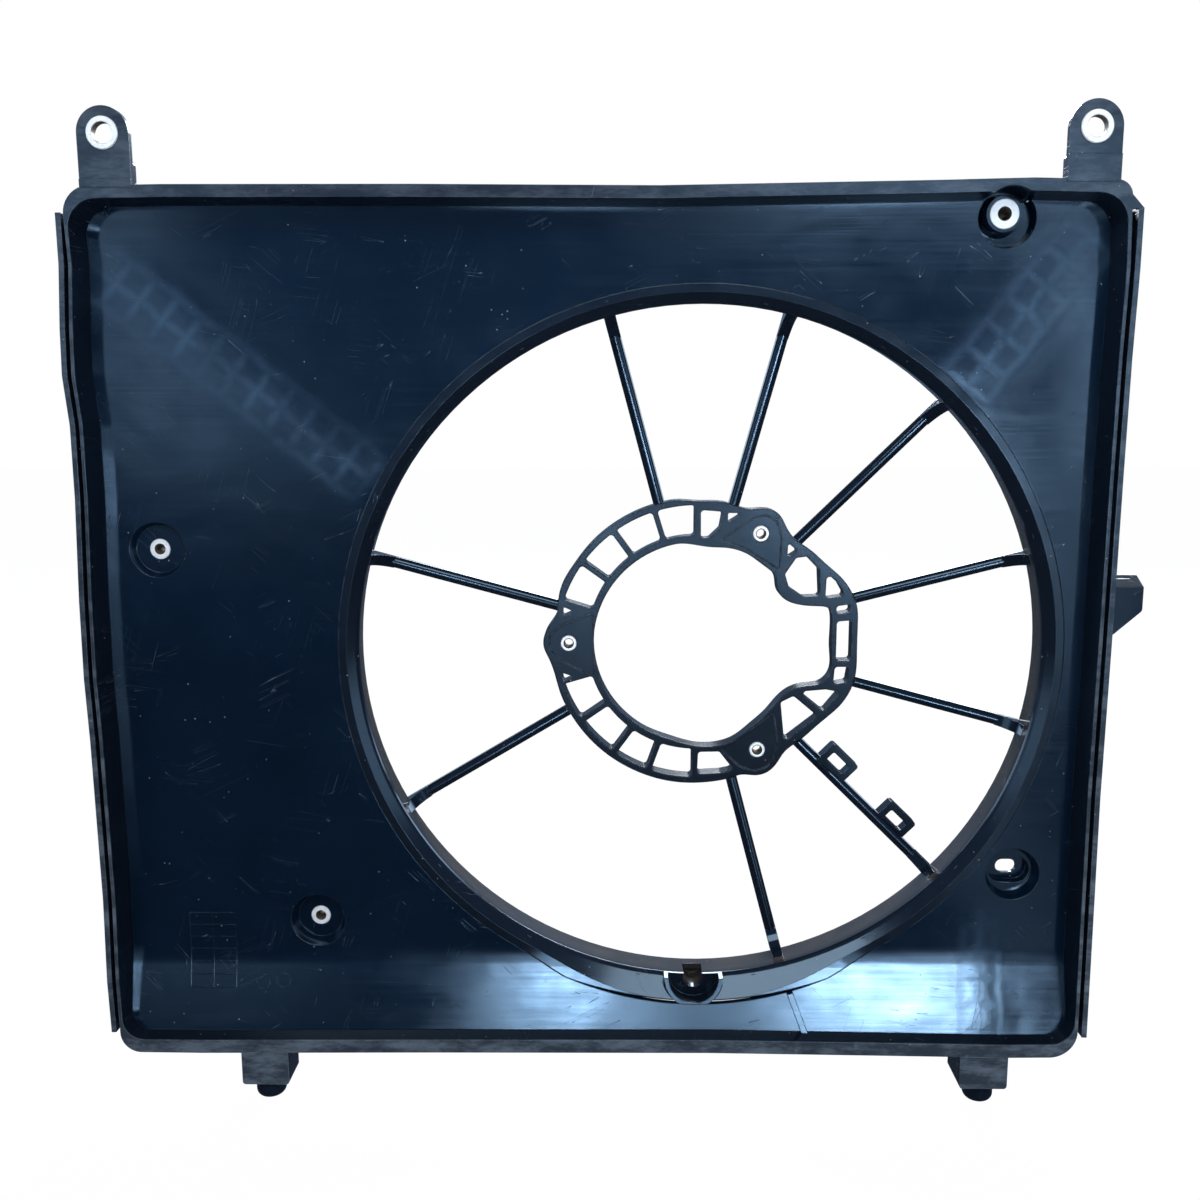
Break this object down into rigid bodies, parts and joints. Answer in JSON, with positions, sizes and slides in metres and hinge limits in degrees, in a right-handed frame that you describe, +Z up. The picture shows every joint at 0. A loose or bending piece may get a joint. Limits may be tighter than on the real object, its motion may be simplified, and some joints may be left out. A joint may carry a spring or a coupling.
{
  "type": "radiator fan shroud",
  "caption": "Plastic shroud that ducts a radiator's air through a round fan ring, with stator arms to a motor mount, rim, seal channels, mounting ears and locating pegs.",
  "frame": {"origin": "on the fan axis, in the plane of the pads that the motor is bolted against", "axes": "+X to the right seen from the radiator side, +Y rearwards with the air flow, +Z up"},
  "size_m": [0.4886, 0.0544, 0.464],
  "materials": {
    "black_plastic": "glossy black moulded polypropylene",
    "zinc_steel": "bright zinc plated steel"
  },
  "bodies": {
    "root": {"shroud_panel": "black_plastic", "panel_upper_right": "black_plastic", "panel_lower_left": "black_plastic", "panel_lower_right": "black_plastic", "fan_ring": "black_plastic", "rim_top": "black_plastic", "rim_right": "black_plastic", "rim_bottom": "black_plastic", "rim_left": "black_plastic", "seal_channel_left": "black_plastic", "seal_channel_right": "black_plastic", "motor_ring": "black_plastic", "stator_arm_1": "black_plastic", "stator_arm_2": "black_plastic", "stator_arm_3": "black_plastic", "stator_arm_4": "black_plastic", "stator_arm_5": "black_plastic", "stator_arm_6": "black_plastic", "stator_arm_7": "black_plastic", "stator_arm_8": "black_plastic", "stator_arm_9": "black_plastic", "loom_loop_1": "black_plastic", "loom_loop_2": "black_plastic", "ear_left": "black_plastic", "ear_right": "black_plastic", "foot_left": "black_plastic", "foot_right": "black_plastic", "side_bracket": "black_plastic", "rib_ladder_upper_left": "black_plastic", "rib_ladder_upper_right": "black_plastic", "rib_ladder_lower_right": "black_plastic", "ear_bush_left": "zinc_steel", "ear_bush_right": "zinc_steel", "motor_insert_1": "zinc_steel", "motor_insert_2": "zinc_steel", "motor_insert_3": "zinc_steel", "boss_insert_left": "zinc_steel", "boss_insert_lower_left": "zinc_steel", "boss_insert_top_right": "zinc_steel"}
  },
  "joints": []
}
